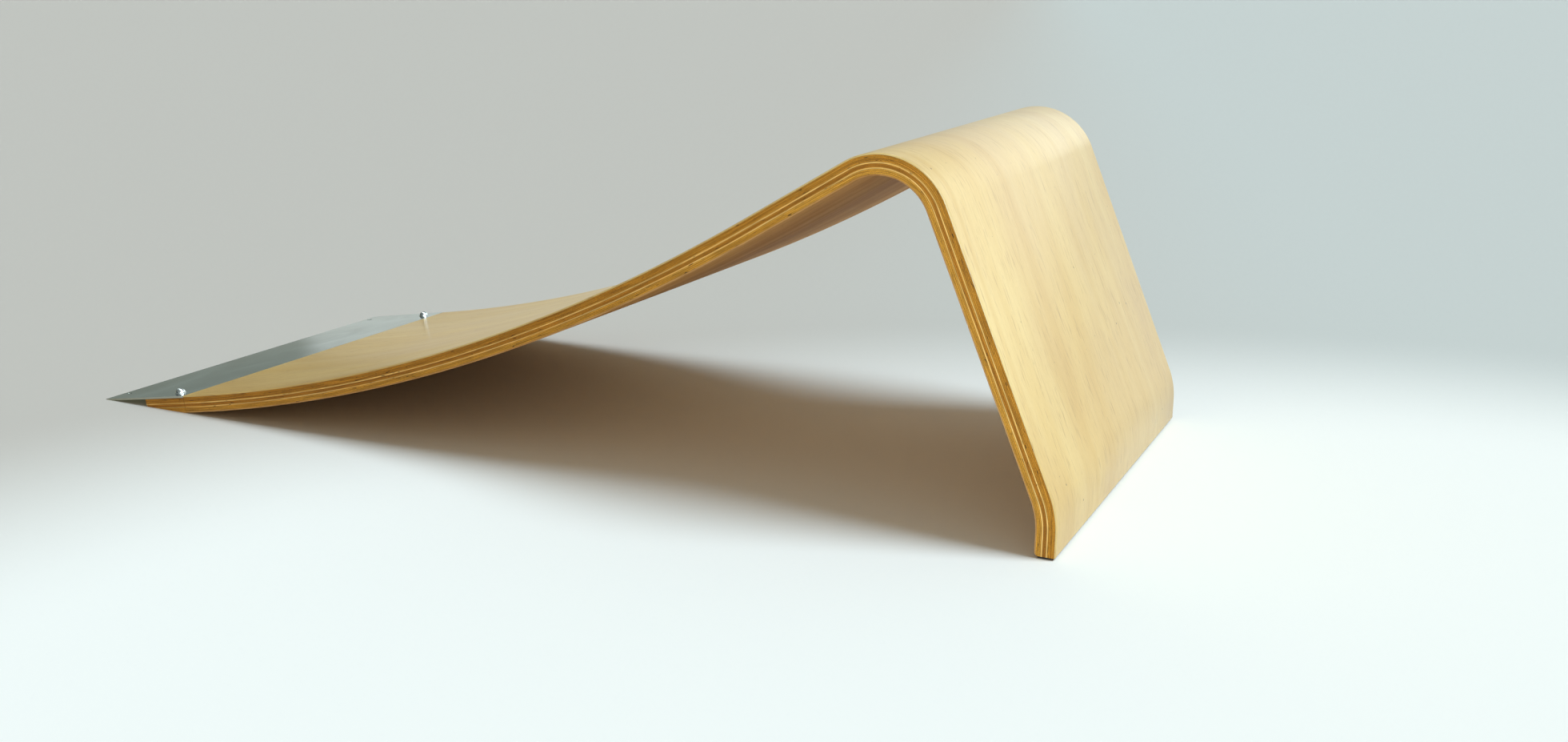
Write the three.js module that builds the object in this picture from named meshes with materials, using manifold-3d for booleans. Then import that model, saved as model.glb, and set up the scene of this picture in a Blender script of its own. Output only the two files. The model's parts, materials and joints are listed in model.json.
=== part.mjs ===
// Jump ramp: one board of glued veneers, bent to a rising deck, a round crest and a leg,
// with a toe block of the same veneers joined to its front and a steel lead-in plate let into that.
// Millimetres, +Z up. +X runs up the ramp from toe to leg, Y across it. It stands on Z = 0.
import * as THREE from "three";
import { mergeVertices } from "three/addons/utils/BufferGeometryUtils.js";
import Module from "manifold-3d";

// Board
const rampWidth = 440;
const veneerCount = 13;
const veneerPitch = 1.4; // a veneer with its glue film
const glueFilm = 0.05;
const alongVeneers = [1, 6, 9, 13]; // grain along the ramp, the others have it across

// Side view of the board's riding face, from the plate's rear edge to the foot
const toeSlope = THREE.MathUtils.degToRad(9);
const deckRadius = 1820;
const deckSweep = THREE.MathUtils.degToRad(22);
const deckRun = 100; // straight stretch below the crest
const crestRadius = 62;
const crestTurn = THREE.MathUtils.degToRad(98);
const footRadius = 84;
const footRun = 20; // upright stretch at the leg's end
const deckSteps = 14;
const crestSteps = 24;
const footSteps = 5;

// Toe block
const toeLength = 54.5; // in front of the plate's rear edge
const toeRounding = 3;
const toeJoint = 0.15; // hairline between the block and the board
const plateEndGap = 0.3; // between the plate's rear edge and the board

// Foot
const footInnerRounding = 4;
const footOuterRounding = 1.8;
const stripThickness = 2;
const stripInset = 2.5; // from the board's faces
const stripEndInset = 2; // from the board's side edges

// Lead-in plate, flush with the riding face in a bed that is milled into the toe block
const bedVeneers = 2; // veneers that the bed is milled into
const bedFloor = 0.6; // what it leaves of the last of them, glue film included
const plateBedding = 0.2; // clearance between plate and wood
const plateNose = 0.5; // height left on the front edge, which is ground flat underneath
const noseHoleSetback = 10;
const noseHoleInset = 22.5;
const noseHoleDiameter = 4;
const noseSinkDiameter = 6.6;

// Plate screws
const screwSetback = 19.5; // from the plate's rear edge
const screwInset = 16; // from the board's side edges
const screwVeneers = 8; // veneers that the screws pass
const screwBite = 0.8; // how far their points reach into the next one
const shankDiameter = 5.5;
const shankPoint = 3;
const flangeDiameter = 11.4;
const flangeHeight = 0.8;
const domeDiameter = 10.2;
const headHeight = 4.8;
const socketAcross = 4;
const socketDepth = 2.2;
const screwSeat = 0.1; // clearance under the head
const holeGap = 0.2; // clearance round the shank

const roundSides = 24;
const holeSides = 12;
const arcSteps = 5;
const overrun = 5; // how far every cutter runs past what it cuts

// Derived sizes
const boardThickness = veneerCount * veneerPitch;
const crestSlope = toeSlope + deckSweep;
const legSlope = crestSlope - crestTurn;
const footSlope = -Math.PI / 2;
const rebateDepth = bedVeneers * veneerPitch - bedFloor;
const plateThickness = rebateDepth - plateBedding;
const toeEnd = plateEndGap - toeJoint; // the block's rear face, from the plate's rear edge
const screwLength = screwVeneers * veneerPitch + screwBite;
const plateLength = (boardThickness - plateNose) / Math.sin(toeSlope); // nose to rear edge
const footEnd = stripThickness + glueFilm;
const arcRise = (radius, from, to) => radius * (Math.cos(to) - Math.cos(from));
const legRise =
  boardThickness -
  footEnd -
  arcRise(deckRadius, toeSlope, crestSlope) +
  deckRun * Math.sin(crestSlope) +
  arcRise(crestRadius, crestSlope, legSlope) +
  arcRise(footRadius, legSlope, footSlope) -
  footRun;
const legRun = legRise / Math.sin(-legSlope);

const wasm = await Module();
wasm.setup();

const toSolid = (geometry) => {
  const bare = geometry.index ? geometry.toNonIndexed() : geometry.clone();
  bare.deleteAttribute("normal");
  bare.deleteAttribute("uv");
  const merged = mergeVertices(bare);
  const vertProperties = new Float32Array(merged.attributes.position.array);
  const triVerts = new Uint32Array(merged.index.array);
  return new wasm.Manifold(new wasm.Mesh({ numProp: 3, vertProperties, triVerts }));
};

const toGeometry = (solid) => {
  const { vertProperties, triVerts } = solid.getMesh();
  const geometry = new THREE.BufferGeometry();
  geometry.setAttribute("position", new THREE.BufferAttribute(vertProperties, 3));
  geometry.setIndex(new THREE.BufferAttribute(triVerts, 1));
  const faceted = geometry.toNonIndexed();
  faceted.computeVertexNormals();
  return faceted;
};

const cutAway = (solid, cutters) => cutters.reduce((left, cutter) => left.subtract(cutter), solid);

// A closed outline in side view, drawn out across the ramp about its middle plane
const acrossRamp = (points, width) => {
  const outline = new THREE.Shape(points.map(([x, z]) => new THREE.Vector2(x, z)));
  const geometry = new THREE.ExtrudeGeometry(outline, { depth: width, bevelEnabled: false });
  geometry.rotateX(Math.PI / 2);
  geometry.translate(0, width / 2, 0);
  return geometry;
};

// The toe in the board's own terms: u up the slope from the plate's rear edge, depth below the riding face
const atToe = (u, depth) => [
  u * Math.cos(toeSlope) + depth * Math.sin(toeSlope),
  boardThickness + u * Math.sin(toeSlope) - depth * Math.cos(toeSlope),
];

const arcPoints = (centre, radius, from, to, steps) =>
  Array.from({ length: steps + 1 }, (_, i) => {
    const angle = from + ((to - from) * i) / steps;
    return [centre[0] + radius * Math.cos(angle), centre[1] + radius * Math.sin(angle)];
  });

// The riding face behind the toe block, as places with the slope that each has
const ridingFace = () => {
  const [x, z] = atToe(plateEndGap, 0);
  const places = [{ x, z, slope: toeSlope }];
  const last = () => places[places.length - 1];
  const straight = (length) => {
    const from = last();
    const { slope } = from;
    places.push({ x: from.x + length * Math.cos(slope), z: from.z + length * Math.sin(slope), slope });
  };
  const bend = (radius, to, steps) => {
    const from = last();
    const side = Math.sign(to - from.slope);
    for (let i = 1; i <= steps; i++) {
      const slope = from.slope + ((to - from.slope) * i) / steps;
      places.push({
        x: from.x + side * radius * (Math.sin(slope) - Math.sin(from.slope)),
        z: from.z - side * radius * (Math.cos(slope) - Math.cos(from.slope)),
        slope,
      });
    }
  };
  bend(deckRadius, crestSlope, deckSteps);
  straight(deckRun);
  bend(crestRadius, legSlope, crestSteps);
  straight(legRun);
  bend(footRadius, footSlope, footSteps);
  straight(footRun);
  return places;
};

const face = ridingFace();
const faceAt = (depth) =>
  face.map(({ x, z, slope }) => [x + depth * Math.sin(slope), z - depth * Math.cos(slope)]);
const footOuterX = face[face.length - 1].x;
const footInnerX = footOuterX - boardThickness;

// Each veneer's upper and lower depth in the board; the film stays open under all but the last
const veneerDepths = (number) => [
  (number - 1) * veneerPitch,
  number * veneerPitch - (number < veneerCount ? glueFilm : 0),
];

// Cutters
const [noseX] = atToe(-plateLength, 0);
const ground = toSolid(
  acrossRamp(
    [
      [noseX - overrun, -boardThickness],
      [boardThickness, -boardThickness],
      [boardThickness, 0],
      [noseX - overrun, 0],
    ],
    rampWidth + overrun
  )
);

const toeFrontCorner = () => {
  const [frontX, frontZ] = atToe(-toeLength, rebateDepth);
  const centre = [
    frontX + (toeRounding - (toeRounding - frontZ) * Math.sin(toeSlope)) / Math.cos(toeSlope),
    toeRounding,
  ];
  const arc = arcPoints(centre, toeRounding, Math.PI + toeSlope, 1.5 * Math.PI, arcSteps);
  const left = frontX - overrun;
  return toSolid(
    acrossRamp([...arc, [centre[0], -overrun], [left, -overrun], [left, arc[0][1]]], rampWidth + overrun)
  );
};

const footCorner = (x, inward, radius) => {
  const centre = [x + inward * radius, footEnd + radius];
  const start = inward > 0 ? Math.PI : 0;
  const arc = arcPoints(centre, radius, start, start + (inward * Math.PI) / 2, arcSteps);
  const outside = x - inward * overrun;
  const below = footEnd - overrun;
  return toSolid(
    acrossRamp([...arc, [centre[0], below], [outside, below], [outside, arc[0][1]]], rampWidth + overrun)
  );
};

// Places at both sides of the plate's top face, and round solids stood square to it there
const toePlaces = (setback, inset) =>
  [-1, 1].map((side) => {
    const [x, z] = atToe(-setback, 0);
    return { x, y: side * (rampWidth / 2 - inset), z };
  });

const atPlate = (geometry, { x, y, z }) => {
  const placed = geometry.clone();
  placed.rotateX(Math.PI / 2);
  placed.rotateY(-toeSlope);
  placed.translate(x, y, z);
  return placed;
};

const spun = (profile, sides) =>
  new THREE.LatheGeometry(
    profile.map(([radius, height]) => new THREE.Vector2(radius, height)),
    sides
  );

const screwPlaces = toePlaces(screwSetback, screwInset);
const screwHoles = screwPlaces.map((place) => {
  const radius = shankDiameter / 2 + holeGap;
  const bottom = -screwLength - holeGap;
  const profile = [
    [0, bottom],
    [radius, bottom],
    [radius, overrun],
    [0, overrun],
  ];
  return toSolid(atPlate(spun(profile, holeSides), place));
});

const noseHoles = toePlaces(plateLength - noseHoleSetback, noseHoleInset).map((place) => {
  const hole = noseHoleDiameter / 2;
  const sink = noseSinkDiameter / 2;
  const profile = [
    [0, -plateThickness - overrun],
    [hole, -plateThickness - overrun],
    [hole, hole - sink],
    [sink + overrun, overrun],
    [0, overrun],
  ];
  return toSolid(atPlate(spun(profile, roundSides), place));
});

// Materials
const paint = (color, roughness, metalness) =>
  new THREE.MeshStandardMaterial({ color, roughness, metalness });
const faceBirch = () => paint(0xe3c48c, 0.4, 0);
const alongBirch = () => paint(0xd3a862, 0.5, 0);
const acrossBirch = () => paint(0xa06a26, 0.55, 0);
const plateSteel = () => paint(0x7d8482, 0.3, 0.9);
const zincSteel = () => paint(0xc3c9c8, 0.25, 0.9);
const stripRubber = () => paint(0x1d1c1b, 0.9, 0);

const veneerMaterial = (number) => {
  if (number === 1 || number === veneerCount) return faceBirch();
  return alongVeneers.includes(number) ? alongBirch() : acrossBirch();
};

const numbered = (name, number) => name + String(number).padStart(2, "0");

const veneerName = (number) => {
  if (number === 1) return "face_veneer_top";
  if (number === veneerCount) return "face_veneer_under";
  return numbered("veneer_", number);
};

const named = (name, geometry, material) => {
  const mesh = new THREE.Mesh(geometry, material);
  mesh.name = name;
  return mesh;
};

// Pieces
const toeCutters = [ground, toeFrontCorner(), ...screwHoles];
const footCutters = [
  footCorner(footInnerX, 1, footInnerRounding),
  footCorner(footOuterX, -1, footOuterRounding),
];

const bentVeneer = (number) => {
  const [upper, lower] = veneerDepths(number);
  const outline = [...faceAt(upper), ...faceAt(lower).reverse()];
  const solid = cutAway(toSolid(acrossRamp(outline, rampWidth)), footCutters);
  return named(veneerName(number), toGeometry(solid), veneerMaterial(number));
};

// A veneer's piece in the toe block, under the plate. The first is milled away whole
const toeVeneer = (number) => {
  const [upper, lower] = veneerDepths(number);
  const top = Math.max(upper, rebateDepth);
  if (top >= lower) return [];
  const outline = [
    atToe(-toeLength, lower),
    atToe(toeEnd, lower),
    atToe(toeEnd, top),
    atToe(-toeLength, top),
  ];
  const solid = cutAway(toSolid(acrossRamp(outline, rampWidth)), toeCutters);
  return [named(numbered("toe_veneer_", number), toGeometry(solid), veneerMaterial(number))];
};

const leadInPlate = () => {
  const landEnd = (plateThickness * Math.cos(toeSlope) - boardThickness) / Math.sin(toeSlope);
  const outline = [
    [noseX, 0],
    atToe(landEnd, plateThickness),
    atToe(0, plateThickness),
    atToe(0, 0),
    [noseX, plateNose],
  ];
  const solid = toSolid(acrossRamp(outline, rampWidth));
  return named("lead_in_plate", toGeometry(cutAway(solid, [...screwHoles, ...noseHoles])), plateSteel());
};

// A dome head on a flange, with a hexagon socket, over a pointed shank
const screwSolid = () => {
  const dome = domeDiameter / 2;
  const rise = headHeight - flangeHeight;
  const domeRadius = (dome * dome + rise * rise) / (2 * rise);
  const sweep = Math.asin(dome / domeRadius);
  const crown = Array.from({ length: arcSteps }, (_, i) => {
    const angle = sweep * (1 - i / arcSteps);
    return [domeRadius * Math.sin(angle), headHeight - domeRadius * (1 - Math.cos(angle))];
  });
  const shank = shankDiameter / 2;
  const profile = [
    [0, -screwLength],
    [shank, shankPoint - screwLength],
    [shank, 0],
    [flangeDiameter / 2, 0],
    [flangeDiameter / 2, flangeHeight / 2],
    ...crown,
    [0, headHeight],
  ];
  const socket = new THREE.CylinderGeometry(
    socketAcross / Math.sqrt(3),
    socketAcross / Math.sqrt(3),
    socketDepth + overrun,
    6
  );
  socket.translate(0, headHeight - socketDepth + (socketDepth + overrun) / 2, 0);
  return toSolid(spun(profile, roundSides)).subtract(toSolid(socket));
};

const plateScrews = () => {
  const geometry = toGeometry(screwSolid());
  geometry.translate(0, screwSeat, 0);
  return screwPlaces.map((place, i) =>
    named(["plate_screw_right", "plate_screw_left"][i], atPlate(geometry, place), zincSteel())
  );
};

const footStrip = () => {
  const left = footInnerX + stripInset;
  const right = footOuterX - stripInset;
  const outline = [
    [left, 0],
    [right, 0],
    [right, stripThickness],
    [left, stripThickness],
  ];
  return named("foot_strip", acrossRamp(outline, rampWidth - 2 * stripEndInset), stripRubber());
};

// Assembly, with the origin under the middle of the whole ramp
const ramp = new THREE.Group();
for (let number = 1; number <= veneerCount; number++) ramp.add(bentVeneer(number), ...toeVeneer(number));
ramp.add(leadInPlate(), ...plateScrews(), footStrip());
const rearX = Math.max(...face.map(({ x }) => x));
ramp.position.x = -(noseX + rearX) / 2;

export default ramp;
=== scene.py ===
import json
import math

import bpy
from mathutils import Matrix, Vector

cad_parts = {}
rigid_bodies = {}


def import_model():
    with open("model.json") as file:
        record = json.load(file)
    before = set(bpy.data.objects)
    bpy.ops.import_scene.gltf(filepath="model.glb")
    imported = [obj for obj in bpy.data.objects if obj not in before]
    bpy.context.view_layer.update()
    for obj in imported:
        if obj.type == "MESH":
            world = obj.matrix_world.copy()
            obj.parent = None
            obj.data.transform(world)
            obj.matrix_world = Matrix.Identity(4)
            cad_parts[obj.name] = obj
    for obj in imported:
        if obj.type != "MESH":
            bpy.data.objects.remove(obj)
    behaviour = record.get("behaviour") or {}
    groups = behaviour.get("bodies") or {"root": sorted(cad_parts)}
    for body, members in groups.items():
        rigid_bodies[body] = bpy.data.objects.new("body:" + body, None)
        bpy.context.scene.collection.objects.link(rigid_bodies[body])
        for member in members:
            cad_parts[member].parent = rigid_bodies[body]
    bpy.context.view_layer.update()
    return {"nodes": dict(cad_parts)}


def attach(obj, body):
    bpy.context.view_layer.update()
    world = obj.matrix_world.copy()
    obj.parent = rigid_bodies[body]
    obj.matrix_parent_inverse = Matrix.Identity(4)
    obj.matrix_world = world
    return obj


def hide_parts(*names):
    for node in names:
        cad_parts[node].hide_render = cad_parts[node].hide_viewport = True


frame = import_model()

print("frame:", len(frame["nodes"]), "nodes")

mm = 0.001
weldReach = 0.002 * mm  # points closer together than this become one
cutReach = 0.0002 * mm  # points closer to a cut than this lie on it


def selectOnly(piece):
    bpy.ops.object.select_all(action="DESELECT")
    piece.select_set(True)
    bpy.context.view_layer.objects.active = piece


def addNew(primitive, **settings):
    # an operator acts on all that is selected, so everything else is deselected first
    bpy.ops.object.select_all(action="DESELECT")
    primitive(**settings)
    return bpy.context.active_object


def fixPlace(piece):
    # leaves the piece's place in its mesh, with its object at the origin
    selectOnly(piece)
    bpy.ops.object.transform_apply(location=True, rotation=True, scale=True)


def pickPoints(piece, wanted):
    # in edit mode: selects the points that the test wants, and nothing else
    bpy.ops.mesh.select_all(action="DESELECT")
    bpy.ops.mesh.select_mode(type="VERT")
    bpy.ops.object.mode_set(mode="OBJECT")
    for point in piece.data.vertices:
        point.select = wanted(point.co)
    bpy.ops.object.mode_set(mode="EDIT")


def pickFaces(piece, wanted):
    # in edit mode: selects the faces that the test wants, and nothing else
    bpy.ops.mesh.select_all(action="DESELECT")
    bpy.ops.mesh.select_mode(type="FACE")
    bpy.ops.object.mode_set(mode="OBJECT")
    for face in piece.data.polygons:
        face.select = wanted(face)
    bpy.ops.object.mode_set(mode="EDIT")


def drawOut(way):
    bpy.ops.mesh.extrude_region_move(TRANSFORM_OT_translate={"value": way})


def cutFlat(place, outward, everything=True):
    # in edit mode: planes off what is selected on the outward side and closes the cut
    if everything:
        bpy.ops.mesh.select_all(action="SELECT")
    bpy.ops.mesh.bisect(
        plane_co=place, plane_no=outward, use_fill=True, clear_outer=True, threshold=cutReach
    )


def closeUp():
    # in edit mode: joins what meets and turns all faces outwards
    bpy.ops.mesh.select_all(action="SELECT")
    bpy.ops.mesh.remove_doubles(threshold=weldReach)
    bpy.ops.mesh.normals_make_consistent(inside=False)


def smoothBelow(piece, degrees):
    selectOnly(piece)
    bpy.ops.object.shade_smooth_by_angle(angle=math.radians(degrees))


def applyModifier(piece, kind, settings):
    selectOnly(piece)
    modifier = piece.modifiers.new(kind.title(), kind)
    for name, value in settings.items():
        setattr(modifier, name, value)
    bpy.ops.object.modifier_apply(modifier=modifier.name)


def breakEdges(piece, width, segments=2, sharperThan=30):
    # rounds the edges that turn by more than that many degrees
    applyModifier(piece, "BEVEL", {
        "width": width * mm, "segments": segments, "limit_method": "ANGLE",
        "angle_limit": math.radians(sharperThan),
    })


def cutAway(piece, cutters):
    for cutter in cutters:
        applyModifier(piece, "BOOLEAN", {"operation": "DIFFERENCE", "solver": "EXACT", "object": cutter})


def finishPiece(piece, name, material, node):
    piece.name = piece.data.name = name
    piece.data.materials.clear()
    piece.data.materials.append(material)
    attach(piece, "root")
    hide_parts(node)


def colour(hexValue):
    # sRGB hex to linear
    channels = [int(hexValue[i:i + 2], 16) / 255 for i in (1, 3, 5)]
    return [c / 12.92 if c <= 0.04045 else ((c + 0.055) / 1.055) ** 2.4 for c in channels] + [1]


def grey(value):
    return [value, value, value, 1]


def addNode(tree, kind, settings=None, inputs=None, stops=()):
    # stops are a colour ramp's pairs of position and linear colour
    node = tree.nodes.new(kind)
    for name, value in (settings or {}).items():
        setattr(node, name, value)
    for socket, value in (inputs or {}).items():
        if isinstance(value, bpy.types.NodeSocket):
            tree.links.new(value, node.inputs[socket])
        else:
            node.inputs[socket].default_value = value
    if stops:
        elements = node.color_ramp.elements
        while len(elements) < len(stops):
            elements.new(1)
        for element, (position, tone) in zip(elements, stops):
            element.position = position
            element.color = tone
    return node


def newMaterial(name):
    material = bpy.data.materials.new(name)
    material.use_nodes = True
    tree = material.node_tree
    tree.nodes.clear()
    return material, tree


cameraView = {
    "place": (0.8253, -1.3826, 0.4712),  # metres
    "azimuth": 25.142,  # 0 looks along +Y
    "elevation": 14.946,
    "roll": 0.4726,
    "lens": 36.33,
    "sensor": 36,
    "clip": (0.05, 60),
}


def setCamera():
    data = bpy.data.cameras.new("photoCamera")
    data.sensor_width = cameraView["sensor"]
    data.lens = cameraView["lens"]
    data.clip_start, data.clip_end = cameraView["clip"]
    camera = bpy.data.objects.new("photoCamera", data)
    bpy.context.scene.collection.objects.link(camera)
    azimuth, elevation, roll = (math.radians(cameraView[k]) for k in ("azimuth", "elevation", "roll"))
    ahead = Vector((
        -math.sin(azimuth) * math.cos(elevation),
        math.cos(azimuth) * math.cos(elevation),
        -math.sin(elevation),
    ))
    level = ahead.cross(Vector((0, 0, 1))).normalized()
    upright = level.cross(ahead)
    right = math.cos(roll) * level + math.sin(roll) * upright
    up = math.cos(roll) * upright - math.sin(roll) * level
    turn = Matrix((right, up, -ahead)).transposed().to_4x4()
    camera.matrix_world = Matrix.Translation(cameraView["place"]) @ turn
    bpy.context.scene.camera = camera


setCamera()
print("camera set")


board = {  # millimetres and degrees, as in the model's source
    "width": 440,
    "veneers": 13,
    "longGrain": (6, 9),  # the inner veneers whose grain runs along the ramp
    "pitch": 1.4,  # a veneer with its glue film
    "glueFilm": 0.05,
    "toeSlope": 9,
    "deckRadius": 1820,
    "deckSweep": 22,
    "deckRun": 100,
    "crestRadius": 62,
    "crestTurn": 98,
    "footRadius": 84,
    "footRun": 20,
    "toeLength": 54.5,
    "toeRounding": 3,
    "toeJoint": 0.15,  # hairline between the toe block and the board
    "footEnd": 2.05,  # height of the leg's end above the ground
    "footInnerRounding": 4,
    "footOuterRounding": 1.8,
    "arris": 1.1,  # rounding along the face veneers' side edges
    "deckSteps": 56,
    "crestSteps": 72,
    "footSteps": 16,
    "arrisSteps": 4,
    "roundingSteps": 8,
    "smoothing": 28,  # faces that meet at less than this are shaded as one
}
plate = {  # stands here because the toe block's bed and joint follow it
    "thickness": 2,
    "bedding": 0.2,
    "endGap": 0.3,  # between its rear edge and the board
    "nose": 0.5,  # height left on the front edge
    "edge": 0.12,  # broken edges
    "edgeTurn": 35,  # edges that turn by more than this are broken
    "holeSetback": 10,
    "holeInset": 22.5,
    "hole": 4,
    "sink": 6.6,
    "smoothing": 8,
}

# the same in metres and radians
thickness = board["veneers"] * board["pitch"] * mm
halfWidth = board["width"] / 2 * mm
toeSlope = math.radians(board["toeSlope"])
crestSlope = toeSlope + math.radians(board["deckSweep"])
legSlope = crestSlope - math.radians(board["crestTurn"])
footSlope = -math.pi / 2
endGap = plate["endGap"] * mm
toeEnd = endGap - board["toeJoint"] * mm  # up the slope from the plate's rear edge
bedDepth = (plate["thickness"] + plate["bedding"]) * mm  # how deep the plate's bed is milled
footEnd = board["footEnd"] * mm


def along(slope):
    return Vector((math.cos(slope), 0, math.sin(slope)))


def inward(slope):
    # from the riding face into the board
    return Vector((math.sin(slope), 0, -math.cos(slope)))


def layOutBoard():
    # the riding face from the toe block to the foot, as straight runs and arcs
    place = Vector((0, 0, thickness)) + along(toeSlope) * endGap
    moves = []
    slope, travelled = toeSlope, endGap

    def run(length):
        nonlocal place, travelled
        moves.append({"from": place, "slope": slope, "length": length, "start": travelled})
        place = place + along(slope) * length
        travelled += length

    def bend(radius, to, steps):
        nonlocal place, slope, travelled
        side = 1 if to > slope else -1
        centre = place - side * radius * inward(slope)
        length = radius * abs(to - slope)
        moves.append({
            "from": place, "slope": slope, "to": to, "radius": radius, "side": side,
            "centre": centre, "steps": steps, "length": length, "start": travelled,
        })
        place = centre + side * radius * inward(to)
        slope = to
        travelled += length

    bend(board["deckRadius"] * mm, crestSlope, board["deckSteps"])
    run(board["deckRun"] * mm)
    bend(board["crestRadius"] * mm, legSlope, board["crestSteps"])
    # the foot's bend and last run change the height by this, and the leg's straight run does the rest
    footFall = board["footRadius"] * mm * (math.cos(footSlope) - math.cos(legSlope)) - board["footRun"] * mm
    run((place.z + footFall - footEnd) / math.sin(-legSlope))
    bend(board["footRadius"] * mm, footSlope, board["footSteps"])
    run(board["footRun"] * mm)
    return moves, place


# the layout starts over the world's origin, and is then moved so that the ramp's middle stands there
moves, footPlace = layOutBoard()
noseX = -((thickness - plate["nose"] * mm) / math.tan(toeSlope))  # the plate's front edge
shift = Vector((-(noseX + footPlace.x) / 2, 0, 0))
for move in moves:
    move["from"] = move["from"] + shift
    if "centre" in move:
        move["centre"] = move["centre"] + shift
footPlace = footPlace + shift
noseX += shift.x
toeCorner = Vector((0, 0, thickness)) + shift  # the plate's rear edge on the riding face


def atToe(u, depth):
    # u up the slope from the plate's rear edge, depth below the riding face
    return toeCorner + along(toeSlope) * u + inward(toeSlope) * depth


def flatPlace(point):
    # a point's place in the board before it was bent: along it, across it, depth in it
    spot = Vector((point.x, 0, point.z))
    fromCorner = spot - toeCorner
    ahead, depth = fromCorner.dot(along(toeSlope)), fromCorner.dot(inward(toeSlope))
    if ahead < endGap:
        return ahead, point.y, depth
    found = []
    for move in moves:
        if "centre" in move:
            arm = spot - move["centre"]
            pointing = arm * move["side"]  # lies along inward(slope)
            slope = math.atan2(pointing.x, -pointing.z)
            share = (slope - move["slope"]) / (move["to"] - move["slope"])
            miss = max(0, -share, share - 1) * move["length"]
            ahead = min(1, max(0, share)) * move["length"]
            depth = (arm.length - move["radius"]) * move["side"]
        else:
            step = spot - move["from"]
            ahead = step.dot(along(move["slope"]))
            miss = max(0, -ahead, 0 if move is moves[-1] else ahead - move["length"])
            depth = step.dot(inward(move["slope"]))
        found.append((miss, move["start"] + ahead, depth))
    slack = 1.5 * mm  # a move counts only where the point lies this near to its stretch of the board
    sound = [f for f in found if -slack < f[2] < thickness + slack] or found
    miss, ahead, depth = min(sound, key=lambda f: f[0])
    return ahead, point.y, depth


def markFlatPlace(piece):
    # keeps the place before bending with each point, for the grain to follow
    marks = piece.data.attributes.new("flatPlace", "FLOAT_VECTOR", "POINT")
    for point, mark in zip(piece.data.vertices, marks.data):
        mark.vector = flatPlace(point.co)


def veneerDepths(number):
    upper = (number - 1) * board["pitch"] * mm
    lower = number * board["pitch"] * mm
    return upper, lower - (board["glueFilm"] * mm if number < board["veneers"] else 0)


def addEndFace(u, upper, lower):
    # the veneer's end as one face, square to the toe's slope
    piece = addNew(bpy.ops.mesh.primitive_plane_add, size=1)
    piece.scale = (lower - upper, 2 * halfWidth, 1)
    piece.rotation_euler = (0, math.pi / 2 - toeSlope, 0)
    piece.location = atToe(u, (upper + lower) / 2)
    fixPlace(piece)
    bpy.ops.object.mode_set(mode="EDIT")
    bpy.ops.mesh.select_all(action="SELECT")
    return piece


def roundArris(piece, u, depth):
    # rounds the end face's two corners at that depth, before it is drawn out
    corner = atToe(u, depth)
    cornerReach = 0.01 * mm
    pickPoints(piece, lambda co: abs(co.x - corner.x) + abs(co.z - corner.z) < cornerReach)
    bpy.ops.mesh.bevel(
        offset=board["arris"] * mm, segments=board["arrisSteps"], affect="VERTICES", clamp_overlap=True
    )
    bpy.ops.mesh.select_mode(type="FACE")
    bpy.ops.mesh.select_all(action="SELECT")


def followBoard():
    # draws the selected end face along the whole bent board; a spin turns clockwise about its axis
    for move in moves:
        if "centre" in move:
            bpy.ops.mesh.spin(
                steps=move["steps"],
                angle=abs(move["to"] - move["slope"]),
                center=move["centre"],
                axis=(0, move["side"], 0),
            )
        else:
            drawOut(along(move["slope"]) * move["length"])


def roundFootEnd(piece, faceX, side, radius):
    # side is 1 on the inner face and -1 on the outer one; only the leg's last run is cut
    centre = Vector((faceX + side * radius, 0, footEnd + radius))
    margin = 0.1  # takes in the points at the last run's upper end
    top = footEnd + (board["footRun"] + margin) * mm
    steps = board["roundingSteps"]
    for i in range(steps):
        angle = math.pi / 2 * (i + 0.5) / steps
        outward = Vector((-side * math.cos(angle), 0, -math.sin(angle)))
        pickPoints(piece, lambda co: co.z < top and co.x > 0)
        cutFlat(centre + outward * radius * math.cos(math.pi / 4 / steps), outward, False)


def trimToe():
    # planes the toe flat on the ground and rounds its lower front edge
    cutFlat(Vector((0, 0, 0)), Vector((0, 0, -1)))
    front = atToe(-board["toeLength"] * mm, bedDepth)
    radius = board["toeRounding"] * mm
    centreX = front.x + (radius - (radius - front.z) * math.sin(toeSlope)) / math.cos(toeSlope)
    centre = Vector((centreX, 0, radius))
    steps = board["roundingSteps"]
    sweep = math.pi / 2 - toeSlope
    for i in range(steps):
        angle = toeSlope + math.pi + sweep * (i + 0.5) / steps
        outward = Vector((math.cos(angle), 0, math.sin(angle)))
        cutFlat(centre + outward * radius * math.cos(sweep / 2 / steps), outward)


def bentVeneer(number):
    upper, lower = veneerDepths(number)
    piece = addEndFace(endGap, upper, lower)
    if number == 1:
        roundArris(piece, endGap, upper)
    if number == board["veneers"]:
        roundArris(piece, endGap, lower)
    followBoard()
    closeUp()
    roundFootEnd(piece, footPlace.x - thickness, 1, board["footInnerRounding"] * mm)
    roundFootEnd(piece, footPlace.x, -1, board["footOuterRounding"] * mm)
    closeUp()
    bpy.ops.object.mode_set(mode="OBJECT")
    markFlatPlace(piece)
    smoothBelow(piece, board["smoothing"])
    return piece


def toeVeneer(number):
    # a veneer's piece in the toe block, under the plate
    upper, lower = veneerDepths(number)
    start = -board["toeLength"] * mm
    piece = addEndFace(start, max(upper, bedDepth), lower)
    drawOut(along(toeSlope) * (toeEnd - start))
    closeUp()
    trimToe()
    closeUp()
    bpy.ops.object.mode_set(mode="OBJECT")
    cutAway(piece, screwHoles)  # made beside the screws, further down
    markFlatPlace(piece)
    smoothBelow(piece, board["smoothing"])
    return piece


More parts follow.
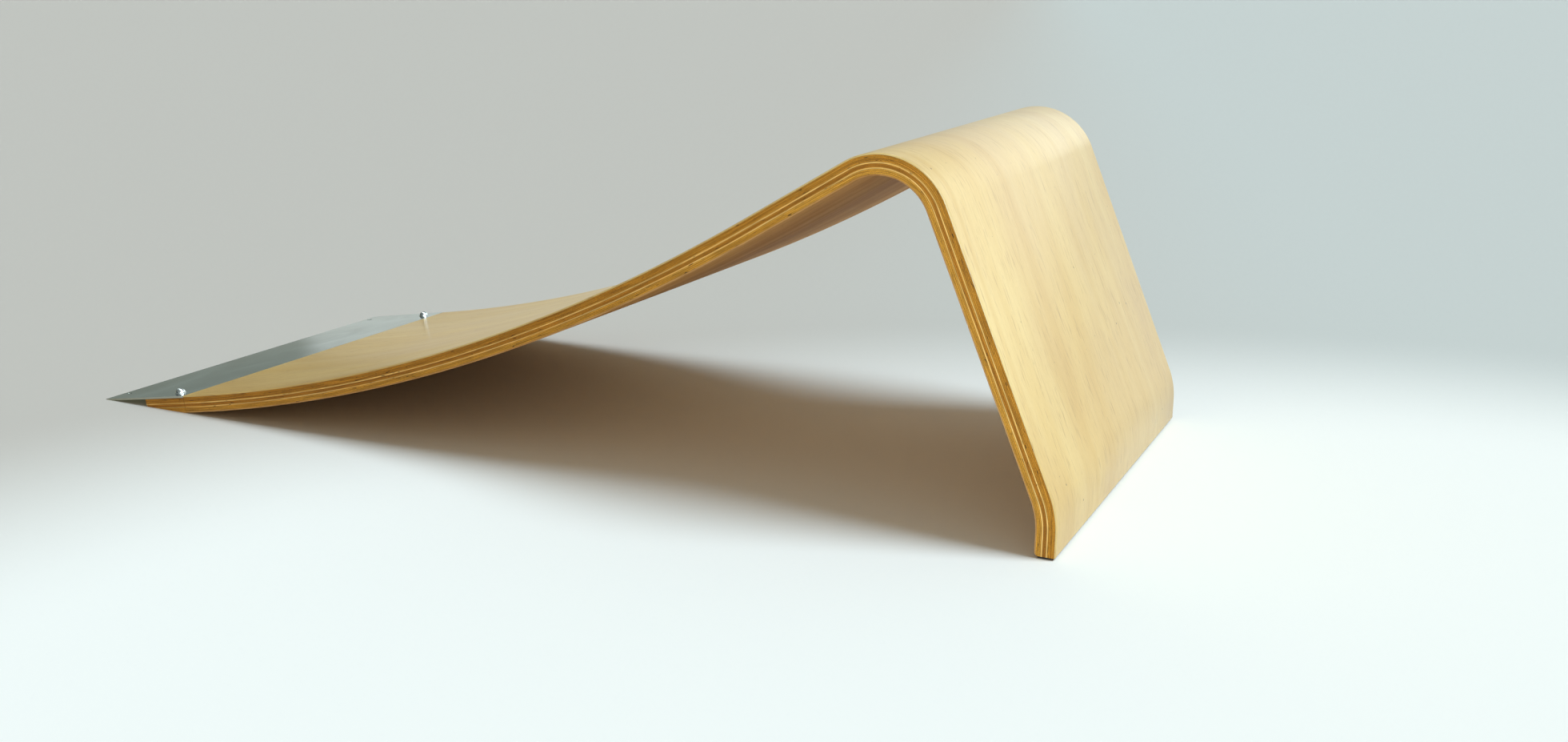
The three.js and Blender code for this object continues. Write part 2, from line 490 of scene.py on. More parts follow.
# a colour mix takes its share at socket 0 and its two colours at 6 and 7, and gives its result at 2
colourMix = {"data_type": "RGBA"}
colourMultiply = {"data_type": "RGBA", "blend_type": "MULTIPLY"}
smoothStep = {"interpolation_type": "SMOOTHSTEP"}
dotProduct = {"operation": "DOT_PRODUCT"}


def grainNoise(tree, place, sizes, detail, distortion, offset=(0, 0, 0)):
    # a noise whose grains are about that many millimetres along, across and through the board
    scale = [1 / (size * mm) for size in sizes]
    mapped = addNode(tree, "ShaderNodeMapping", None, {"Vector": place, "Location": offset, "Scale": scale})
    noise = addNode(tree, "ShaderNodeTexNoise", None, {
        "Vector": mapped.outputs["Vector"], "Scale": 1.0, "Detail": detail, "Roughness": 0.55,
        "Distortion": distortion,
    })
    return noise.outputs["Fac"]


def paintWhere(tree, noise, levels, tone, over, most=1.0):
    # lays the second tone over the first where the noise is high: none of it below the first level, and most
    # of it above the second
    share = addNode(tree, "ShaderNodeValToRGB", None, {"Fac": noise}, [
        (levels[0], grey(0)), (levels[1], grey(most)),
    ]).outputs["Color"]
    return addNode(tree, "ShaderNodeMix", colourMix, {0: share, 6: tone, 7: over}).outputs[2]


def shadeWhere(tree, noise, levels, tone, shades):
    # multiplies the tone by the first shade where the noise is low, and by the second where it is high
    shade = addNode(tree, "ShaderNodeValToRGB", None, {"Fac": noise}, [
        (levels[0], shades[0]), (levels[1], shades[1]),
    ]).outputs["Color"]
    return addNode(tree, "ShaderNodeMix", colourMultiply, {0: 1.0, 6: tone, 7: shade}).outputs[2]


def finishTree(tree, settings, bumpHeight, bumpDistance):
    shader = addNode(tree, "ShaderNodeBsdfPrincipled", None, settings)
    bump = addNode(tree, "ShaderNodeBump", None, {
        "Height": bumpHeight, "Distance": bumpDistance, "Strength": 1.0,
    })
    tree.links.new(bump.outputs["Normal"], shader.inputs["Normal"])
    addNode(tree, "ShaderNodeOutputMaterial", None, {"Surface": shader.outputs["BSDF"]})


birchTop = {
    "pale": "#d6b977",
    "warm": "#cdaa63",
    "fleck": "#a47a42",
    "knot": "#5b3a1c",
    "roughness": (0.31, 0.39),
    "shine": 0.5,
    "lacquer": 0.3,
    "poreDepth": 0.02,
}
# the underside: its matt sealer is real, and its darker, browner tones are painted shade and warm bounce
# light
birchUnderPaintedShade = {
    "pale": "#c6975c",
    "warm": "#aa773c",
    "fleck": "#7a4c20",
    "knot": "#4b2c12",
    "roughness": (0.69, 0.77),
    "shine": 0.15,
    "lacquer": 0.0,
    "poreDepth": 0.02,
}


def satinBirch(name, face, offset):
    # rotary-cut birch: cream, with a soft wavy figure and short brown flecks along the grain; satin lacquer
    # on the riding face and a thin matt sealer underneath, where the browner, darker tone is painted shade
    material, tree = newMaterial(name)
    place = addNode(tree, "ShaderNodeAttribute", {"attribute_name": "flatPlace"}).outputs["Vector"]
    figure = grainNoise(tree, place, (420, 42, 40), 4, 0.8, offset)
    cloud = grainNoise(tree, place, (160, 90, 60), 2, 0.2, offset)
    flecks = grainNoise(tree, place, (26, 2.4, 2.4), 2, 0.7, offset)  # real flecks are half as wide
    pores = grainNoise(tree, place, (5, 0.7, 0.7), 2, 0, offset)  # real pores are about 0.1 wide
    knots = grainNoise(tree, place, (5, 4, 4), 0, 0, offset)
    tone = paintWhere(tree, figure, (0.34, 0.66), colour(face["pale"]), colour(face["warm"]))
    tone = shadeWhere(tree, cloud, (0.32, 0.62), tone, ([0.95, 0.9, 0.84, 1], grey(1.04)))
    tone = paintWhere(tree, flecks, (0.56, 0.74), tone, colour(face["fleck"]), 0.6)
    tone = shadeWhere(tree, pores, (0.35, 0.6), tone, (grey(0.94), grey(1)))
    tone = paintWhere(tree, knots, (0.86, 0.9), tone, colour(face["knot"]), 0.9)
    low, high = face["roughness"]
    roughness = addNode(tree, "ShaderNodeValToRGB", None, {"Fac": cloud}, [
        (0.3, grey(low)), (0.7, grey(high)),
    ])
    finishTree(tree, {
        "Base Color": tone, "Roughness": roughness.outputs["Color"], "IOR": 1.5,
        "Specular IOR Level": face["shine"],
        "Coat Weight": face["lacquer"], "Coat Roughness": 0.18, "Coat IOR": 1.5,
    }, pores, face["poreDepth"] * mm)
    return material


birchEdge = {
    "along": ("#da9f44", "#f2c26e"),
    "acrossUpper": ("#ac6e16", "#cd8b27"),
    "acrossMiddle": ("#a26310", "#c27e20"),
    "acrossLower": ("#bd7f21", "#dd9e38"),
    "glueLine": "#54330c",
    "glueLineWidth": 0.2,  # wider than a real glue line, so that it shows
    "glueLineShare": 0.9,
    "jointShadeReach": 0.45,  # painted shade: the dark line beside the toe joint reaches this far from it
    "jointShadeShare": 0.75,
    # painted shade: the dark tone inside the veneers' open gaps
    "void": "#241408",
    "voidDepth": 0.25,
    "roughness": 0.6,
    "shine": 0.2,
}


def birchEnds(name, tones, acrossGrain, offset):
    # a birch veneer seen at its cut edge: brown end grain or paler long grain, dark glue lines and a few
    # open gaps
    material, tree = newMaterial(name)
    place = addNode(tree, "ShaderNodeAttribute", {"attribute_name": "flatPlace"}).outputs["Vector"]
    streaks = grainNoise(tree, place, (60, 60, 0.5), 4, 0.6, offset)
    blotches = grainNoise(tree, place, (26, 60, 1.6), 3, 0.5, offset)
    tone = paintWhere(tree, streaks, (0.4, 0.6), colour(tones[0]), colour(tones[1]))
    tone = shadeWhere(tree, blotches, (0.32, 0.66), tone, (grey(0.68), grey(1.14)))
    if acrossGrain:
        # the pores' open ends, which are really about 0.1 wide
        pores = grainNoise(tree, place, (0.5, 12, 0.35), 1, 0, offset)
        tone = shadeWhere(tree, pores, (0.34, 0.5), tone, (grey(0.6), grey(1)))
    else:
        pores = grainNoise(tree, place, (8, 8, 0.25), 2, 0, offset)
        tone = shadeWhere(tree, pores, (0.35, 0.55), tone, (grey(0.85), grey(1)))

    # a glue line where a veneer's upper and lower faces are near
    split = addNode(tree, "ShaderNodeSeparateXYZ", None, {"Vector": place})
    layers = addNode(tree, "ShaderNodeMath", {"operation": "DIVIDE"}, {
        0: split.outputs["Z"], 1: board["pitch"] * mm,
    })
    inLayer = addNode(tree, "ShaderNodeMath", {"operation": "FRACT"}, {0: layers.outputs[0]})
    margin = birchEdge["glueLineWidth"] / board["pitch"]
    full, none = grey(birchEdge["glueLineShare"]), grey(0)
    glue = addNode(tree, "ShaderNodeValToRGB", None, {"Fac": inLayer.outputs[0]}, [
        (0.0, full), (margin, none), (1 - margin, none), (1.0, full),
    ])
    glueTone = colour(birchEdge["glueLine"])
    tone = addNode(tree, "ShaderNodeMix", colourMix, {
        0: glue.outputs["Color"], 6: tone, 7: glueTone,
    }).outputs[2]

    # painted shade along the toe joint's hairline gap, in the glue line's tone
    fromJoint = addNode(tree, "ShaderNodeMath", {"operation": "SUBTRACT"}, {
        0: split.outputs["X"], 1: (toeEnd + endGap) / 2,
    })
    fromJoint = addNode(tree, "ShaderNodeMath", {"operation": "ABSOLUTE"}, {0: fromJoint.outputs[0]})
    paintedJointShade = addNode(tree, "ShaderNodeMapRange", None, {
        "Value": fromJoint.outputs[0], "From Max": birchEdge["jointShadeReach"] * mm,
        "To Min": birchEdge["jointShadeShare"], "To Max": 0,
    })
    tone = addNode(tree, "ShaderNodeMix", colourMix, {
        0: paintedJointShade.outputs["Result"], 6: tone, 7: glueTone,
    }).outputs[2]

    # small gaps left when the veneer was laid, sunk in by the bump, with painted shade for their dark inside
    gaps = grainNoise(tree, place, (9, 30, 0.9), 1, 0.2, offset)
    gapShare = addNode(tree, "ShaderNodeValToRGB", None, {"Fac": gaps}, [
        (0.715, grey(0)), (0.745, grey(1)),
    ]).outputs["Color"]
    tone = addNode(tree, "ShaderNodeMix", colourMix, {
        0: gapShare, 6: tone, 7: colour(birchEdge["void"]),
    }).outputs[2]
    finishTree(tree, {
        "Base Color": tone, "Roughness": birchEdge["roughness"], "IOR": 1.5,
        "Specular IOR Level": birchEdge["shine"],
    }, gapShare, -birchEdge["voidDepth"] * mm)
    return material


sheetSteel = {
    "light": "#c2c9c6",
    "dark": "#b6bebb",
    "roughness": (0.1, 0.13),
    "cutEdge": "#d4d5cb",
    "edgeRoughness": 0.6,
    "edgeDepth": 0.05,  # the side edge's look reaches this far in
    "grainDepth": 0.001,
}


def coldRolledSteel():
    # bare cold-rolled sheet: grey with a green cast, rolled grain and faint cloudy handling marks;
    # its side edges are sheared and dull
    material, tree = newMaterial("coldRolledSteel")
    place = addNode(tree, "ShaderNodeTexCoord").outputs["Object"]
    rolled = grainNoise(tree, place, (0.5, 60, 0.5), 3, 0)
    cloudy = grainNoise(tree, place, (45, 70, 45), 4, 0.5)
    tone = paintWhere(tree, cloudy, (0.35, 0.65), colour(sheetSteel["light"]), colour(sheetSteel["dark"]))
    tone = shadeWhere(tree, rolled, (0.3, 0.7), tone, (grey(0.93), grey(1)))
    low, high = sheetSteel["roughness"]
    roughness = addNode(tree, "ShaderNodeValToRGB", None, {"Fac": cloudy}, [
        (0.3, grey(low)), (0.7, grey(high)),
    ])
    across = addNode(tree, "ShaderNodeSeparateXYZ", None, {"Vector": place}).outputs["Y"]
    outwards = addNode(tree, "ShaderNodeMath", {"operation": "ABSOLUTE"}, {0: across}).outputs[0]
    atEdge = addNode(tree, "ShaderNodeMath", {"operation": "GREATER_THAN"}, {
        0: outwards, 1: halfWidth - sheetSteel["edgeDepth"] * mm,
    }).outputs[0]
    tone = addNode(tree, "ShaderNodeMix", colourMix, {
        0: atEdge, 6: tone, 7: colour(sheetSteel["cutEdge"]),
    }).outputs[2]
    roughness = addNode(tree, "ShaderNodeMix", colourMix, {
        0: atEdge, 6: roughness.outputs["Color"], 7: grey(sheetSteel["edgeRoughness"]),
    }).outputs[2]
    finishTree(tree, {
        "Base Color": tone, "Metallic": 1.0, "Roughness": roughness,
    }, rolled, sheetSteel["grainDepth"] * mm)
    return material


zincPlate = {"dark": "#d3dcdf", "light": "#e6ecee", "roughness": (0.17, 0.25), "spotDepth": 0.004}


def brightZinc():
    # zinc-plated steel, clear passivated: bright and slightly blue, with a fine satin of the plating bath
    material, tree = newMaterial("brightZincPlate")
    place = addNode(tree, "ShaderNodeTexCoord").outputs["Object"]
    spots = grainNoise(tree, place, (1.2, 1.2, 1.2), 3, 0)
    tone = addNode(tree, "ShaderNodeValToRGB", None, {"Fac": spots}, [
        (0.35, colour(zincPlate["dark"])), (0.65, colour(zincPlate["light"])),
    ])
    low, high = zincPlate["roughness"]
    roughness = addNode(tree, "ShaderNodeValToRGB", None, {"Fac": spots}, [
        (0.3, grey(low)), (0.7, grey(high)),
    ])
    finishTree(tree, {
        "Base Color": tone.outputs["Color"], "Metallic": 1.0, "Roughness": roughness.outputs["Color"],
    }, spots, zincPlate["spotDepth"] * mm)
    return material


mouldedRubber = {"dark": "#191817", "light": "#262422", "roughness": 0.85, "grainDepth": 0.05}


def blackRubber():
    # moulded black rubber: matt and slightly grainy, so it stays dark under any light
    material, tree = newMaterial("mouldedRubber")
    place = addNode(tree, "ShaderNodeTexCoord").outputs["Object"]
    grains = grainNoise(tree, place, (0.6, 0.6, 0.6), 2, 0)
    tone = addNode(tree, "ShaderNodeValToRGB", None, {"Fac": grains}, [
        (0.3, colour(mouldedRubber["dark"])), (0.7, colour(mouldedRubber["light"])),
    ])
    finishTree(tree, {
        "Base Color": tone.outputs["Color"], "Roughness": mouldedRubber["roughness"], "IOR": 1.52,
    }, grains, mouldedRubber["grainDepth"] * mm)
    return material


# each wood starts its pattern at another place, so that no two show the same one
faceTopWood = satinBirch("satinBirchDeck", birchTop, (3.1, 7.3, 0))
faceUnderWood = satinBirch("sealedBirchUndersideShaded", birchUnderPaintedShade, (11.7, 2.9, 0))
alongWood = birchEnds("birchLongGrainEdge", birchEdge["along"], False, (5.3, 1.1, 0))
upperWood = birchEnds("birchEndGrainUpper", birchEdge["acrossUpper"], True, (2.7, 4.9, 0))
middleWood = birchEnds("birchEndGrainMiddle", birchEdge["acrossMiddle"], True, (8.3, 6.1, 0))
lowerWood = birchEnds("birchEndGrainLower", birchEdge["acrossLower"], True, (1.9, 9.7, 0))
steel = coldRolledSteel()
zinc = brightZinc()
rubber = blackRubber()


def veneerWood(number):
    # material and record slot; grain along the ramp shows pale at the side edge, grain across it brown
    if number == 1:
        return faceTopWood, "face_veneer"
    if number == board["veneers"]:
        return faceUnderWood, "face_veneer"
    if number in board["longGrain"]:
        return alongWood, "along_veneer"
    first, last = board["longGrain"]
    return (upperWood if number < first else middleWood if number < last else lowerWood), "across_veneer"


print("materials made")


screw = {
    "setback": 19.5,  # from the plate's rear edge
    "inset": 16,  # from the plate's side edge
    "length": 12,  # below the riding face
    "shank": 5.5,
    "point": 3,  # length of the shank's point
    "pointEnd": 0.06,  # what is left of the shank's width at the tip
    "flange": 11.4,
    "flangeEdge": 0.4,  # height of its upright edge
    "flangeHeight": 0.8,
    "dome": 10.2,
    "height": 4.8,
    "socket": 4,  # across its flats
    "socketDepth": 2.2,
    "seat": 0.1,  # gap under the flange
    "holeGap": 0.2,
    "rounds": 64,
    "domeSteps": 9,
    "crown": 0.6,  # the flat left on top of the dome, as a share of a step
    "edge": 0.12,  # broken edges
    "edgeTurn": 40,
    "smoothing": 32,
    "turns": (12, 41),  # how each was left when it was driven home
}
drillSides = 48
drillStart = 4  # a drill starts this far above the riding face


def standOnPlate(piece, setback, side, inset, depth=0.0):
    piece.rotation_euler = (0, -toeSlope, 0)
    piece.location = atToe(-setback * mm, depth * mm) + Vector((0, side * (halfWidth - inset * mm), 0))
    fixPlace(piece)


def roundCutter(setback, side, inset, top, bottom, topRadius, bottomRadius, tail=0.0):
    # tail is a straight stretch below the bottom, as wide as that
    cutter = addNew(
        bpy.ops.mesh.primitive_cone_add,
        vertices=drillSides, radius1=bottomRadius * mm, radius2=topRadius * mm, depth=(bottom - top) * mm,
    )
    if tail:
        bpy.ops.object.mode_set(mode="EDIT")
        pickPoints(cutter, lambda co: co.z < 0)
        drawOut((0, 0, -tail * mm))
        bpy.ops.object.mode_set(mode="OBJECT")
    standOnPlate(cutter, setback, side, inset, (top + bottom) / 2)
    cutter.name = "cutter"
    return cutter


def screwHole(side):
    radius = screw["shank"] / 2 + screw["holeGap"]
    bottom = screw["length"] + screw["holeGap"]
    return roundCutter(screw["setback"], side, screw["inset"], -drillStart, bottom, radius, radius)


screwHoles = [screwHole(side) for side in (-1, 1)]


def noseHole(setback, side):
    # a countersink of 45 degrees that starts a little above the sheet, and a hole that goes right through it
    hole, sink = plate["hole"] / 2, plate["sink"] / 2
    above, through = 1, 6
    inset = plate["holeInset"]
    return roundCutter(setback, side, inset, -above, sink - hole, sink + above, hole, through)


def leadInPlate():
    # a flat sheet, let in flush with the deck and ground flat underneath along its front edge
    length = (thickness - plate["nose"] * mm) / math.sin(toeSlope)
    spare = 4 * mm  # the sheet starts longer, and its front is then cut off upright
    piece = addEndFace(-length - spare, 0, plate["thickness"] * mm)
    drawOut(along(toeSlope) * (length + spare))
    closeUp()
    cutFlat(Vector((noseX, 0, 0)), Vector((-1, 0, 0)))
    cutFlat(Vector((0, 0, 0)), Vector((0, 0, -1)))
    closeUp()
    bpy.ops.object.mode_set(mode="OBJECT")
    setback = length / mm - plate["holeSetback"]
    cutAway(piece, screwHoles + [noseHole(setback, side) for side in (-1, 1)])
    breakEdges(piece, plate["edge"], sharperThan=plate["edgeTurn"])
    smoothBelow(piece, plate["smoothing"])
    return piece


def plateScrew():
    # a domed head drawn up from its flange in small insets, with a hexagon socket, over a pointed shank
    flange, dome = screw["flange"] / 2, screw["dome"] / 2
    rise = screw["height"] - screw["flangeHeight"]
    ball = (dome * dome + rise * rise) / (2 * rise)
    sweep = math.asin(dome / ball)
    piece = addNew(
        bpy.ops.mesh.primitive_cylinder_add,
        vertices=screw["rounds"], radius=flange * mm, depth=screw["flangeEdge"] * mm,
        location=(0, 0, (screw["seat"] + screw["flangeEdge"] / 2) * mm),
    )
    fixPlace(piece)
    bpy.ops.object.mode_set(mode="EDIT")
    pickFaces(piece, lambda face: face.normal.z < -0.9)
    bpy.ops.mesh.inset(thickness=(flange - screw["shank"] / 2) * mm)
    drawOut((0, 0, -(screw["length"] - screw["point"]) * mm))
    drawOut((0, 0, -screw["point"] * mm))
    bpy.ops.transform.resize(value=(screw["pointEnd"], screw["pointEnd"], 1), center_override=(0, 0, 0))
    pickFaces(piece, lambda face: face.normal.z > 0.9)
    slant = screw["flangeHeight"] - screw["flangeEdge"]
    bpy.ops.mesh.inset(thickness=(flange - dome) * mm, depth=slant * mm)
    steps = screw["domeSteps"]
    for i in range(steps):
        lower, upper = (sweep * (1 - step / (steps + screw["crown"])) for step in (i, i + 1))
        bpy.ops.mesh.inset(
            thickness=ball * (math.sin(lower) - math.sin(upper)) * mm,
            depth=ball * (math.cos(upper) - math.cos(lower)) * mm,
        )
    closeUp()
    bpy.ops.object.mode_set(mode="OBJECT")
    toolLength = 4  # the hexagon that cuts the socket sticks out at the head's top
    socket = addNew(
        bpy.ops.mesh.primitive_cylinder_add,
        vertices=6, radius=screw["socket"] / math.sqrt(3) * mm, depth=toolLength * mm,
        location=(0, 0, (screw["seat"] + screw["height"] - screw["socketDepth"] + toolLength / 2) * mm),
    )
    cutAway(piece, [socket])
    bpy.data.objects.remove(socket)
    breakEdges(piece, screw["edge"], sharperThan=screw["edgeTurn"])
    smoothBelow(piece, screw["smoothing"])
    return piece


finishPiece(leadInPlate(), "leadInPlate", steel, "lead_in_plate")
firstScrew = plateScrew()
for side, word, turn in zip((-1, 1), ("Right", "Left"), screw["turns"]):
    piece = firstScrew.copy()
    piece.data = firstScrew.data.copy()
    bpy.context.scene.collection.objects.link(piece)
    piece.rotation_euler = (0, 0, math.radians(turn))
    fixPlace(piece)
    standOnPlate(piece, screw["setback"], side, screw["inset"])
    finishPiece(piece, "plateScrew" + word, zinc, "plate_screw_" + word.lower())
bpy.data.objects.remove(firstScrew)
print("plate and screws made")

for number in range(1, board["veneers"] + 1):
    wood, slotName = veneerWood(number)
    node = {1: "face_veneer_top", board["veneers"]: "face_veneer_under"}.get(number, f"veneer_{number:02d}")
    name = {1: "faceVeneerTop", board["veneers"]: "faceVeneerUnder"}.get(number, f"veneer{number:02d}")
    finishPiece(bentVeneer(number), name, wood, node)
    if number > 1:  # the first is milled away under the plate
        finishPiece(toeVeneer(number), f"toeVeneer{number:02d}", wood, f"toe_veneer_{number:02d}")
print("veneers made")

for cutter in [o for o in bpy.data.objects if o.name.startswith("cutter")]:
    bpy.data.objects.remove(cutter)


strip = {"thickness": 2, "inset": 2.5, "endInset": 2, "edge": 0.35, "edgeSteps": 3, "smoothing": 40}


def footStrip():
    piece = addNew(bpy.ops.mesh.primitive_cube_add, size=1)
    height = strip["thickness"] * mm
    piece.scale = (thickness - 2 * strip["inset"] * mm, 2 * (halfWidth - strip["endInset"] * mm), height)
    piece.location = (footPlace.x - thickness / 2, 0, height / 2)
    fixPlace(piece)
    breakEdges(piece, strip["edge"], strip["edgeSteps"])
    smoothBelow(piece, strip["smoothing"])
    return piece


finishPiece(footStrip(), "footStrip", rubber, "foot_strip")
print("foot strip made")


stage = {
    "floorSize": 60,
    "floorRoughness": 0.9,
    "floorShine": 0.1,
    "floorNear": "#f9ffff",
    "farLeft": "#c1c4be",
    "farRight": "#c6d2d0",
    # the camera sees a painted pool of light: white round this centre, turning to the far greys further off
    "paintedLightPoolCentre": (0.9, -0.75, 0),
    "paintedLightPoolRadius": (1.0, 1.5),  # painted pool of light: where the white floor starts and ends its turn to grey
    "tintAcross": (1, 0.29, 0),  # the far floor's tint changes along this
    "tintFrom": -0.2,
    "tintTo": 1.0,
    "floorLight": (0.94, 0.98, 0.96),  # what the lamps make of a white floor
    "keyHeight": 56,  # degrees above the floor
    "keySide": 8,  # degrees round from +X
    "keySoftness": 27,  # how wide the light looks, in degrees
    "keyStrength": 2.42,
    "keyColour": (0.86, 0.98, 1.07),
    "skyColour": "#fff5df",
    "skyStrength": 0.38,
    "fillPlace": (0.7, -0.95, 0.4),
    "fillSize": 0.5,
    "fillTowards": (1.2, -0.3, 0.15),  # past the leg, so that little of it reaches the deck
    "fillPower": 6.6,
    "fillColour": (0.76, 0.97, 1.3),
    "behind": (-0.27, -0.2),  # between these, at the near side, the mirrored room's floor takes over
    "mirrorPlace": (-0.46, 0, 0),  # the plate, from where the dark side's edge is seen
    "mirrorRight": "#f2fafa",  # the mirrored floor's tone at its right
    "rise": (0.02, 0.12),  # sines of the heights between which the low room turns to the high one
    "topRise": (0.38, 0.6),  # and the high one to the room above
}

# the room that only reflections show: each of its parts turns from the first tone to the second across it
lowRoom = {"tones": ("#8f9b96", "#d0dad8"), "across": (1, 0.967, 0), "softness": 0.012, "strength": 1.0}
highRoom = {"tones": ("#2c312f", "#dfe8e6"), "across": (0.97, 0.242, 0), "softness": 0.5, "strength": 2.6}
topRoom = {"tones": ("#a9aeaa", "#dce2e0"), "across": (0.97, 0.242, 0), "softness": 0.5, "strength": 0.6}
floorRoom = {"tones": ("#8a8468", "#e8e4d2"), "across": (0.743, 0.669, 0), "softness": 0.2}
ceilingLamp = {  # gives the screws' domes their glint
    "towards": (-0.23, 0.21, 0.94),
    "reach": (7, 10),  # degrees from its middle where it starts and ends its turn to the room's tone
    "tone": "#f2fffc",
    "strength": 14,
}


def roomTone(tree, towards, room):
    side = addNode(tree, "ShaderNodeVectorMath", dotProduct, {0: towards, 1: room["across"]})
    share = addNode(tree, "ShaderNodeMapRange", smoothStep, {
        "Value": side.outputs["Value"], "From Min": -room["softness"], "From Max": room["softness"],
    })
    first, second = (colour(tone) for tone in room["tones"])
    return addNode(tree, "ShaderNodeMix", colourMix, {
        0: share.outputs["Result"], 6: first, 7: second,
    }).outputs[2]


def makeFloor():
    floor = addNew(bpy.ops.mesh.primitive_plane_add, size=stage["floorSize"])
    floor.name = "studioFloor"
    material, tree = newMaterial("paleFloor")
    place = addNode(tree, "ShaderNodeTexCoord").outputs["Object"]
    away = addNode(tree, "ShaderNodeVectorMath", {"operation": "DISTANCE"}, {
        0: place, 1: stage["paintedLightPoolCentre"],
    })
    white, turned = stage["paintedLightPoolRadius"]
    share = addNode(tree, "ShaderNodeMapRange", smoothStep, {
        "Value": away.outputs["Value"], "From Min": white, "From Max": turned,
    })
    side = addNode(tree, "ShaderNodeVectorMath", dotProduct, {0: place, 1: stage["tintAcross"]})
    tint = addNode(tree, "ShaderNodeMapRange", smoothStep, {
        "Value": side.outputs["Value"], "From Min": stage["tintFrom"], "From Max": stage["tintTo"],
    })
    far = addNode(tree, "ShaderNodeMix", colourMix, {
        0: tint.outputs["Result"], 6: colour(stage["farLeft"]), 7: colour(stage["farRight"]),
    }).outputs[2]
    fromPlate = addNode(tree, "ShaderNodeVectorMath", {"operation": "SUBTRACT"}, {
        0: place, 1: stage["mirrorPlace"],
    })
    roomLeft = roomTone(tree, fromPlate.outputs["Vector"], floorRoom)
    mirrored = addNode(tree, "ShaderNodeMix", colourMix, {
        0: tint.outputs["Result"], 6: roomLeft, 7: colour(stage["mirrorRight"]),
    }).outputs[2]

    # painted reflection: behind the ramp the floor glows in the room's floor tones for reflections alone,
    # and in front of it reflections show the real floor
    ways = addNode(tree, "ShaderNodeSeparateXYZ", None, {"Vector": place})
    behind = addNode(tree, "ShaderNodeMapRange", smoothStep, {
        "Value": ways.outputs["Y"], "From Min": stage["behind"][0], "From Max": stage["behind"][1],
    })
    mirrorShare = addNode(tree, "ShaderNodeMath", {"operation": "MULTIPLY"}, {
        0: share.outputs["Result"], 1: behind.outputs["Result"],
    })

    # painted pool of light: the camera and reflections see the floor turn from white to grey away from the
    # pool's centre, and the ramp's light comes from a floor that is white all over
    rays = addNode(tree, "ShaderNodeLightPath")
    direct = addNode(tree, "ShaderNodeMath", {"operation": "MAXIMUM"}, {
        0: rays.outputs["Is Camera Ray"], 1: rays.outputs["Is Glossy Ray"],
    })
    paintedFalloff = addNode(tree, "ShaderNodeMath", {"operation": "MULTIPLY"}, {
        0: share.outputs["Result"], 1: direct.outputs[0],
    })
    reflected = addNode(tree, "ShaderNodeMath", {"operation": "MULTIPLY"}, {
        0: mirrorShare.outputs[0], 1: rays.outputs["Is Glossy Ray"],
    })
    unlit = addNode(tree, "ShaderNodeVectorMath", {"operation": "DIVIDE"}, {0: far, 1: stage["floorLight"]})
    # painted pool of light: the base colour turns grey where the camera and reflections look
    tone = addNode(tree, "ShaderNodeMix", colourMix, {
        0: paintedFalloff.outputs[0], 6: colour(stage["floorNear"]), 7: unlit.outputs["Vector"],
    }).outputs[2]
    ground = addNode(tree, "ShaderNodeBsdfPrincipled", None, {
        "Base Color": tone, "Roughness": stage["floorRoughness"], "Specular IOR Level": stage["floorShine"],
    })
    # painted reflection: an emission that only reflections see
    room = addNode(tree, "ShaderNodeEmission", None, {"Color": mirrored})
    mixed = addNode(tree, "ShaderNodeMixShader", None, {
        0: reflected.outputs[0], 1: ground.outputs["BSDF"], 2: room.outputs["Emission"],
    })
    addNode(tree, "ShaderNodeOutputMaterial", None, {"Surface": mixed.outputs["Shader"]})
    floor.data.materials.append(material)


def addLamp(name, kind, strength, tone):
    data = bpy.data.lights.new(name, kind)
    data.energy = strength
    data.color = tone
    lamp = bpy.data.objects.new(name, data)
    bpy.context.scene.collection.objects.link(lamp)
    return lamp


def makeKeyLight():
    # a wide soft light from beyond the leg, far enough off to light the whole floor alike
    lamp = addLamp("keyLight", "SUN", stage["keyStrength"], stage["keyColour"])
    lamp.data.angle = math.radians(stage["keySoftness"])
    height, side = math.radians(stage["keyHeight"]), math.radians(stage["keySide"])
    lamp.rotation_euler = (0, math.pi / 2 - height, side)


def makeFillLight():
    # a weak soft light from the right and front for the ramp alone, so that the floor stays even
    lamp = addLamp("fillLight", "AREA", stage["fillPower"], stage["fillColour"])
    lamp.data.shape = "DISK"
    lamp.data.size = stage["fillSize"]
    lamp.location = stage["fillPlace"]
    towards = Vector(stage["fillTowards"]) - lamp.location
    lamp.rotation_euler = towards.to_track_quat("-Z", "Y").to_euler()
    lamp.visible_camera = False
    ramp = bpy.data.collections.new("litByFill")
    for piece in bpy.data.objects:
        if piece.type == "MESH" and piece.name != "studioFloor":
            ramp.objects.link(piece)
    lamp.light_linking.receiver_collection = ramp


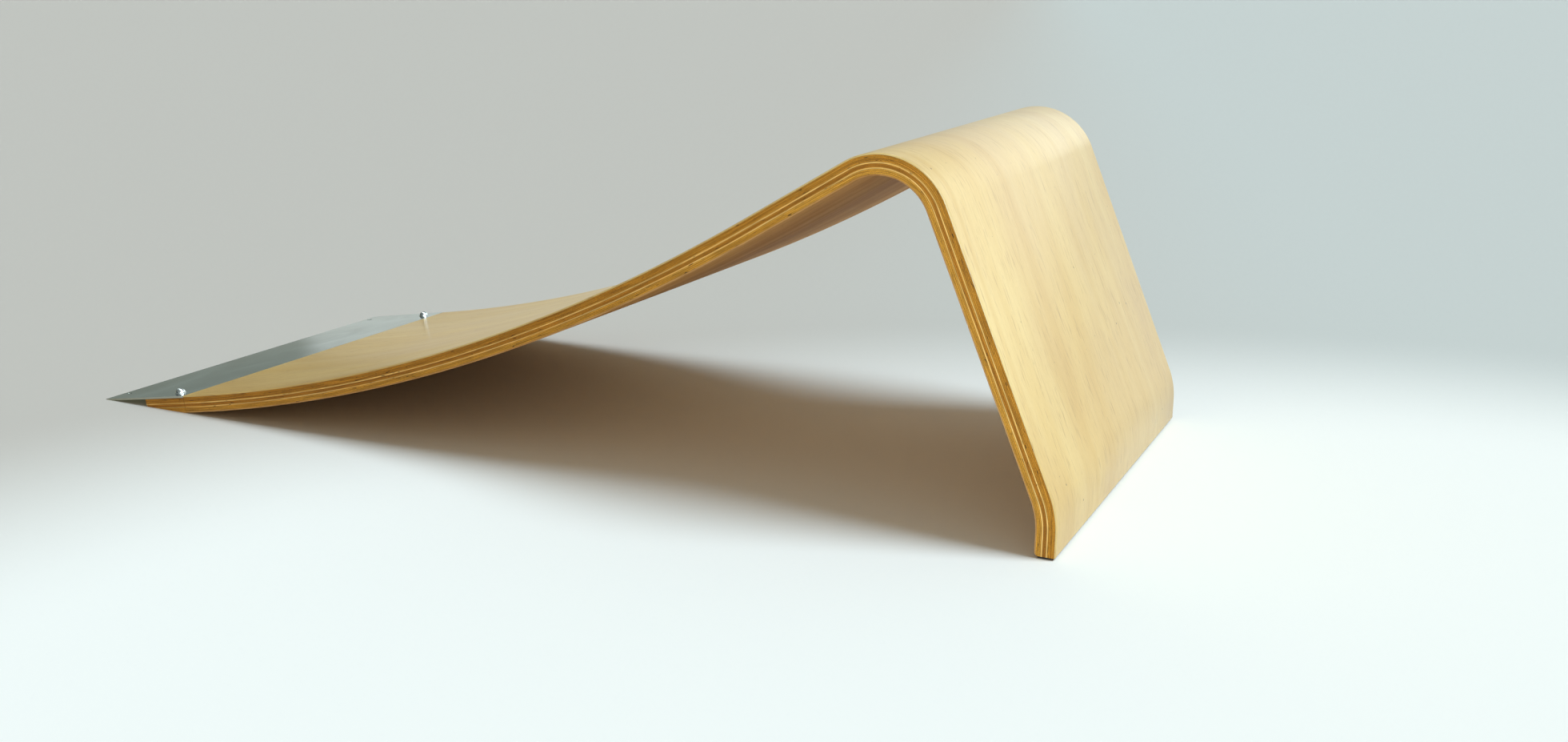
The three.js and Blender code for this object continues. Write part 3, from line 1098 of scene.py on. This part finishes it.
def makeWorld():
    # diffuse light comes from the sky, reflections show the room, and the camera sees a plain backdrop
    world = bpy.data.worlds.new("paleStudio")
    bpy.context.scene.world = world
    world.use_nodes = True
    tree = world.node_tree
    tree.nodes.clear()
    sky = addNode(tree, "ShaderNodeBackground", None, {
        "Color": colour(stage["skyColour"]), "Strength": stage["skyStrength"],
    })
    towards = addNode(tree, "ShaderNodeTexCoord").outputs["Generated"]
    height = addNode(tree, "ShaderNodeSeparateXYZ", None, {"Vector": towards})
    low, high, top = (
        addNode(tree, "ShaderNodeBackground", None, {
            "Color": roomTone(tree, towards, room), "Strength": room["strength"],
        }).outputs["Background"]
        for room in (lowRoom, highRoom, topRoom)
    )
    mirrored = low
    for heights, above in ((stage["rise"], high), (stage["topRise"], top)):
        rise = addNode(tree, "ShaderNodeMapRange", smoothStep, {
            "Value": height.outputs["Z"], "From Min": heights[0], "From Max": heights[1],
        })
        mirrored = addNode(tree, "ShaderNodeMixShader", None, {
            0: rise.outputs["Result"], 1: mirrored, 2: above,
        }).outputs["Shader"]
    toLamp = addNode(tree, "ShaderNodeVectorMath", dotProduct, {
        0: towards, 1: Vector(ceilingLamp["towards"]).normalized(),
    })
    inner, outer = (math.cos(math.radians(angle)) for angle in ceilingLamp["reach"])
    inLamp = addNode(tree, "ShaderNodeMapRange", smoothStep, {
        "Value": toLamp.outputs["Value"], "From Min": outer, "From Max": inner,
    })
    lamp = addNode(tree, "ShaderNodeBackground", None, {
        "Color": colour(ceilingLamp["tone"]), "Strength": ceilingLamp["strength"],
    })
    mirrored = addNode(tree, "ShaderNodeMixShader", None, {
        0: inLamp.outputs["Result"], 1: mirrored, 2: lamp.outputs["Background"],
    }).outputs["Shader"]
    backdrop = addNode(tree, "ShaderNodeBackground", None, {"Color": colour(stage["farRight"])})
    rays = addNode(tree, "ShaderNodeLightPath")
    mixed = sky.outputs["Background"]
    for kind, seen in (("Is Glossy Ray", mirrored), ("Is Camera Ray", backdrop.outputs["Background"])):
        mixed = addNode(tree, "ShaderNodeMixShader", None, {
            0: rays.outputs[kind], 1: mixed, 2: seen,
        }).outputs["Shader"]
    addNode(tree, "ShaderNodeOutputWorld", None, {"Surface": mixed})


makeFloor()
makeKeyLight()
makeFillLight()
makeWorld()
bpy.context.scene.view_settings.view_transform = "Standard"
print("stage made")
